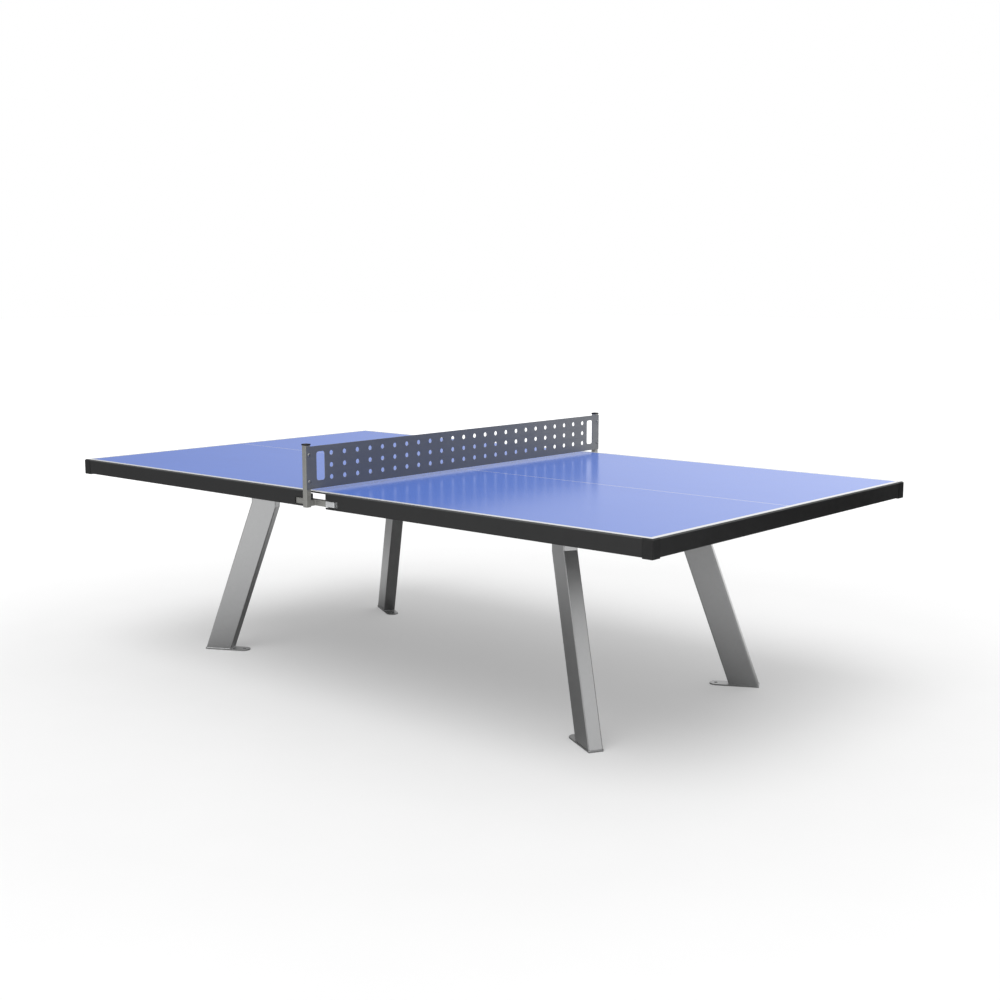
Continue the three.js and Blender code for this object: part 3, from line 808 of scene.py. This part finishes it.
def net_tree():
    """A sheet in the XY plane, X across the table and Y up, its holes and slots cut through."""
    tree = Tree(
        "perforated_sheet", Width=("Float", 1.6), Height=("Float", 0.14), Middle=("Float", 0.0),
        Thickness=("Float", 2.5 * MM), Columns=("Int", HOLE_COLUMNS), Rows=("Int", HOLE_ROWS),
        Pitch=("Float", HOLE_PITCH), Row_Pitch=("Float", HOLE_ROW_PITCH),
        Row_Middle=("Float", HOLE_ROW_MIDDLE), Hole_Radius=("Float", HOLE_RADIUS),
        Slot_Reach=("Float", SLOT_Y), Slot_Width=("Float", SLOT_WIDTH),
        Slot_Height=("Float", SLOT_HEIGHT), Slot_Radius=("Float", SLOT_RADIUS),
        Slot_Middle=("Float", SLOT_MIDDLE), Material=("Material", None))

    def moved(geometry, offset):
        return tree.node(
            "GeometryNodeTransform", {"Geometry": geometry, "Translation": offset}).outputs[0]

    def rectangle(width, height, offset, fillet=None):
        curve = tree.node("GeometryNodeCurvePrimitiveQuadrilateral", {
            "Width": width, "Height": height}).outputs[0]
        if fillet is not None:
            curve = tree.node(
                "GeometryNodeFilletCurve", {"Curve": curve, "Count": 8, "Radius": fillet},
                mode="POLY").outputs[0]
        return moved(curve, offset)

    columns, rows, pitch = tree.given("Columns"), tree.given("Rows"), tree.given("Pitch")
    grid = tree.node("GeometryNodeMeshGrid", {
        "Size X": tree.sum("MULTIPLY", tree.sum("SUBTRACT", columns, 1.0), pitch),
        "Size Y": tree.sum("MULTIPLY", tree.sum("SUBTRACT", rows, 1.0), tree.given("Row_Pitch")),
        "Vertices X": columns, "Vertices Y": rows}).outputs["Mesh"]
    hole = tree.node("GeometryNodeCurvePrimitiveCircle", {
        "Resolution": 28, "Radius": tree.given("Hole_Radius")}).outputs["Curve"]
    holes = tree.node("GeometryNodeInstanceOnPoints", {"Points": grid, "Instance": hole}).outputs[0]
    cuts = [moved(holes, tree.vector(y=tree.given("Row_Middle")))]
    for way in (-1.0, 1.0):
        offset = tree.vector(
            x=tree.sum("MULTIPLY", tree.given("Slot_Reach"), way), y=tree.given("Slot_Middle"))
        cuts.append(rectangle(
            tree.given("Slot_Width"), tree.given("Slot_Height"), offset, tree.given("Slot_Radius")))
    edge = rectangle(tree.given("Width"), tree.given("Height"), tree.vector(y=tree.given("Middle")))
    outlines = tree.node("GeometryNodeJoinGeometry", {0: [edge] + cuts}).outputs[0]
    outlines = tree.node("GeometryNodeRealizeInstances", {0: outlines}).outputs[0]
    face = tree.node("GeometryNodeFillCurve", {"Curve": outlines}).outputs[0]
    walls = tree.node("GeometryNodeExtrudeMesh", {
        "Mesh": face, "Offset": tree.vector(z=1.0), "Offset Scale": tree.given("Thickness"),
        "Individual": False}).outputs[0]
    back = tree.node("GeometryNodeFlipFaces", {"Mesh": face}).outputs[0]
    closed = tree.node("GeometryNodeJoinGeometry", {0: [walls, back]}).outputs[0]
    merged = tree.node(
        "GeometryNodeMergeByDistance", {"Geometry": closed, "Distance": MERGE}).outputs[0]
    tree.finish(merged)
    return tree


def net_steel():
    """Thin dark paint on galvanised sheet, with a faint rolled grain along the net."""
    finish = Finish("net_steel", Metallic=0.40, IOR=1.5)
    stretch = finish.node("Mapping", {"Vector": finish.place, "Scale": (1.0, 0.06, 1.0)}).outputs[0]
    streak = finish.noise(160.0, 3.0, 0.6, at=stretch)
    cloud = finish.noise(6.0, 3.0, 0.6)
    blend = finish.sum("MULTIPLY_ADD", streak, 0.4, finish.sum("MULTIPLY", cloud, 0.6))
    finish.join(finish.mix(blend, (0.150, 0.157, 0.170, 1), (0.180, 0.187, 0.200, 1)), "Base Color")
    finish.join(finish.ramp(streak, 0.25, 0.75, 0.36, 0.50), "Roughness")
    finish.bump(finish.noise(700.0, 2.0, 0.5), 0.12, 0.04 * MM)
    return finish.material


NET_STEEL = net_steel()

net = points_object("net_sheet", [(0, 0, 0)], [0.0])
net = net_tree().grown(
    net, Width=net_high.y - net_low.y, Height=net_high.z - net_low.z,
    Middle=(net_high.z + net_low.z) / 2 - SURFACE, Thickness=net_high.x - net_low.x,
    Material=NET_STEEL)
# the sheet's own axes (across, up, thickness) turn onto the table's Y, Z and X
upright = Matrix(((0, 0, 1, net_low.x), (1, 0, 0, 0), (0, 1, 0, SURFACE), (0, 0, 0, 1)))
net.data.transform(upright)
finished(eased(net, NET_EDGE, segments=1, angle=60), "net_steel", "net_plate")


POST_WALL = 2 * MM
POST_BEND = 2 * MM
POST_INNER_BEND = 0.8 * MM
POST_BEND_STEPS = 4
post_half = (post_high.y - post_low.y) / 2
post_x = (post_high.x + post_low.x) / 2

GREY_STEEL = galvanised(
    "post_steel", (0.330, 0.330, 0.312, 1), (0.27, 0.27, 0.256, 1), 8 * MM,
    metallic=0.40, sheen=(0.34, 0.44))


def square_loop(centre_x, centre_y, half, z, bend):
    corners = [(-half, -half), (half, -half), (half, half), (-half, half)]
    return [(centre_x + x, centre_y + y, z)
            for x, y in rounded(corners, bend, POST_BEND_STEPS)]


for side, sy in SIDES.items():
    post_y = sy * (post_high.y + post_low.y) / 2
    loops = []
    for half_size, bend, heights in (
            (post_half, POST_BEND, (post_low.z, post_high.z)),
            (post_half - POST_WALL, POST_INNER_BEND, (post_high.z, post_low.z))):
        loops += [square_loop(post_x, post_y, half_size, z, bend) for z in heights]
    post = shaded(skin(f"post_{side}", loops, GREY_STEEL, ring=True))
    finished(post, "galvanised", f"net_post_{side}")

    for name, node, edge, material, slot in (
            (f"cap_of_post_{side}", f"post_cap_{side}", 1.0 * MM, MOULDED_PLASTIC, "black_plastic"),
            (f"bar_{side}", f"post_bar_{side}", 1.2 * MM, GREY_STEEL, "galvanised"),
            (f"shoe_{side}", f"bar_shoe_{side}", 1.5 * MM, ZINC, "zinc"),
            (f"spacer_{side}", f"post_bracket_{side}", 1.0 * MM, POWDER_COAT, "black_steel")):
        finished(softened(name, edge, material, node, segments=3), slot, node)

# Button-head screws with a hexagon socket hold the net sheet, two to a post.

SCREW_Y = 791 * MM
SCREW_HEIGHTS = (35 * MM, 125 * MM)
SCREW_HEAD = 10 * MM
SCREW_DOME = 2.5 * MM
SCREW_FULLNESS = 0.8               # below 1, the dome stays high towards its rim
SCREW_SOCKET = 4.6 * MM
SOCKET_RIM = 0.4 * MM
SOCKET_FLOOR = 1.0 * MM
SOCKET_CUT_TOP = 4 * MM
SCREW_SHANK = 6 * MM
SCREW_LENGTH = 9 * MM

dome = [(SCREW_SOCKET / 2 + SOCKET_RIM, SCREW_DOME)]
dome += [(SCREW_HEAD / 2 * math.sin(a), SCREW_DOME * math.cos(a) ** SCREW_FULLNESS) for a in
         (math.radians(degrees) for degrees in (40, 55, 70, 82))]
dome += [(SCREW_HEAD / 2, 0), (SCREW_SHANK / 2, 0), (SCREW_SHANK / 2, -SCREW_LENGTH),
         (0, -SCREW_LENGTH)]
screw = lathed("screw", [(0, SCREW_DOME)] + dome, ZINC, 24)
socket = lathed("socket", [
    (0, SOCKET_FLOOR), (SCREW_SOCKET / 2, SOCKET_FLOOR),
    (SCREW_SOCKET / 2, SOCKET_CUT_TOP), (0, SOCKET_CUT_TOP)], ZINC, 6)
screw = cut(screw, socket)
screw.data.transform(Matrix.Rotation(math.radians(90), 4, "Y"))
places = [(net_high.x + CLEARANCE, sy * SCREW_Y, SURFACE + z)
          for sy in SIDES.values() for z in SCREW_HEIGHTS]
screws = points_object("net_screws", places, [0.0] * len(places))
screws = shaded(FASTENERS.grown(screws, Fastener=screw, Material=ZINC))
bpy.data.objects.remove(screw)
finished(screws, "zinc", *[f"net_screw_{side}_{i}" for side in SIDES for i in (1, 2)])

# ---- studio ---------------------------------------------------------------------------------
# A pale floor under a white sky that is dimmer towards the left, a broad soft sun high over the
# near side, and two cards that only shiny faces see: a dark one beyond the right end and a grey
# one off the near right corner. The camera is a little below a standing person's eyes, further
# out from that corner.

FLOOR_REACH = 60.0
FLOOR_THICK = 0.01
FLOOR_GREY = (0.60, 0.62)
FLOOR_GLOW = 0.28
FAR_GLOW = 0.60
GLOW_REACH = (2.0, 7.0)            # metres from the middle, near glow to far glow
PAINTED_SHADE_GREY = 0.36                  # the grey of the floor's painted shade, in shiny faces
DARK_REACH = (0.9, 2.3)            # metres from the middle, painted shade to bright
DARK_LEFT = (-2.8, -1.4)           # metres along the table, painted shade to bright
SHINY_GLOW = 0.25
SKY_LIGHT = (0.30, 0.86)           # left and right, as a light
SKY_SHINE = (0.22, 1.12)           # left and right, in shiny faces
SKY_FADE = (-1.0, -0.2)
SUN_STRENGTH = 1.3
SUN_SPREAD = 50
SUN_FROM = (0.12, -0.45, 1.0)
CARD_THICK = 0.02
CARD_LIFT = 0.01
CARDS = (                          # place, way it turns, width, height and grey
    ((2.226, 0.956), 48, 1.92, 2.2, 0.05),
    ((1.9, -1.8), -62, 1.6, 1.0, 0.40),
)


def grey_of(level):
    return (level, level, level, 1)


def pale_floor():
    """Glowing a little, more so far off, though not as a light on dull faces. Shiny faces see it
    painted darker under the table and at the left end, as painted shade."""
    finish = Finish("pale_floor", Roughness=0.9, Specular_IOR_Level=0.05)
    rays = finish.node("LightPath").outputs
    x = finish.node("SeparateXYZ", {0: finish.place}).outputs[0]
    reach = finish.node("VectorMath", {0: finish.place}, operation="LENGTH").outputs["Value"]
    bright = finish.sum(
        "MULTIPLY", finish.ramp(reach, *DARK_REACH), finish.ramp(x, *DARK_LEFT))
    # painted shade: to shiny faces, the floor is painted dark grey under the table and at the left
    # end
    painted_shade = finish.sum("MULTIPLY", rays["Is Glossy Ray"], finish.sum("SUBTRACT", 1.0, bright))
    low, high, dark = (grey_of(level) for level in (*FLOOR_GREY, PAINTED_SHADE_GREY))
    tone = finish.mix(finish.noise(3.0), low, high)
    finish.join(finish.mix(painted_shade, tone, dark), "Base Color")
    finish.join((1.0, 1.0, 1.0, 1.0), "Emission Color")
    seen = finish.sum("SUBTRACT", finish.sum("SUBTRACT", 1.0, rays["Is Diffuse Ray"]), painted_shade)
    shine = finish.sum("MULTIPLY", rays["Is Glossy Ray"], SHINY_GLOW)
    glow = finish.sum("ADD", finish.ramp(reach, *GLOW_REACH, FLOOR_GLOW, FAR_GLOW), shine)
    finish.join(finish.sum("MULTIPLY", seen, glow), "Emission Strength")
    return finish.material


floor_low = (-FLOOR_REACH, -FLOOR_REACH, -FLOOR_THICK)
floor_high = (FLOOR_REACH, FLOOR_REACH, 0.0)
box_object("floor", floor_low, floor_high, pale_floor())

for number, (place, turn, width, height, grey) in enumerate(CARDS, 1):
    name = f"card_{number}"
    dull = Finish(name, Base_Color=grey_of(grey), Roughness=1.0, Specular_IOR_Level=0.0)
    card = box_object(
        name, (0, -width / 2, CARD_LIFT), (CARD_THICK, width / 2, height), dull.material)
    card.location = (*place, 0)
    card.rotation_euler = (0, 0, math.radians(turn))
    for ray in ("camera", "diffuse", "transmission", "shadow"):
        setattr(card, f"visible_{ray}", False)


def studio_sky():
    """White to the camera, and dimmer towards the left as a light and in shiny faces."""
    world = bpy.data.worlds.new("white_sky")
    world.use_nodes = True
    nodes, link = world.node_tree.nodes, world.node_tree.links.new
    rays = nodes.new("ShaderNodeLightPath").outputs
    way = nodes.new("ShaderNodeSeparateXYZ")
    link(nodes.new("ShaderNodeTexCoord").outputs["Generated"], way.inputs[0])
    fade = nodes.new("ShaderNodeMapRange")
    fade.interpolation_type = "SMOOTHSTEP"
    fade.inputs["From Min"].default_value, fade.inputs["From Max"].default_value = SKY_FADE
    link(way.outputs[0], fade.inputs["Value"])
    for socket, light, shine in zip(("To Min", "To Max"), SKY_LIGHT, SKY_SHINE):
        level = nodes.new("ShaderNodeMath")
        level.operation = "MULTIPLY_ADD"
        link(rays["Is Glossy Ray"], level.inputs[0])
        level.inputs[1].default_value = shine - light
        level.inputs[2].default_value = light
        link(level.outputs[0], fade.inputs[socket])
    lit = nodes["Background"]
    lit.inputs["Color"].default_value = (1.0, 1.0, 1.0, 1.0)
    link(fade.outputs["Result"], lit.inputs["Strength"])
    seen = nodes.new("ShaderNodeBackground")
    seen.inputs["Color"].default_value = (1.0, 1.0, 1.0, 1.0)
    choice = nodes.new("ShaderNodeMixShader")
    link(rays["Is Camera Ray"], choice.inputs[0])
    link(lit.outputs[0], choice.inputs[1])
    link(seen.outputs[0], choice.inputs[2])
    link(choice.outputs[0], nodes["World Output"].inputs["Surface"])
    return world


bpy.context.scene.world = studio_sky()

sun = bpy.data.lights.new("soft_sun", "SUN")
sun.energy = SUN_STRENGTH
sun.angle = math.radians(SUN_SPREAD)
lamp = bpy.data.objects.new("soft_sun", sun)
bpy.context.scene.collection.objects.link(lamp)
lamp.rotation_euler = (-Vector(SUN_FROM)).to_track_quat("-Z", "Y").to_euler()

CAMERA_PLACE = (3.496, -3.823, 1.425)
CAMERA_YAW = 131.15
CAMERA_PITCH = -8.58
LENS = 50.0
FILM_WIDTH = 36.0

lens = bpy.data.cameras.new("camera")
lens.lens = LENS
lens.sensor_width = FILM_WIDTH
camera = bpy.data.objects.new("camera", lens)
bpy.context.scene.collection.objects.link(camera)
camera.location = CAMERA_PLACE
camera.rotation_euler = Euler(
    (math.radians(90 + CAMERA_PITCH), 0, math.radians(CAMERA_YAW - 90)), "XYZ")
bpy.context.scene.camera = camera
bpy.context.scene.view_settings.view_transform = "Standard"
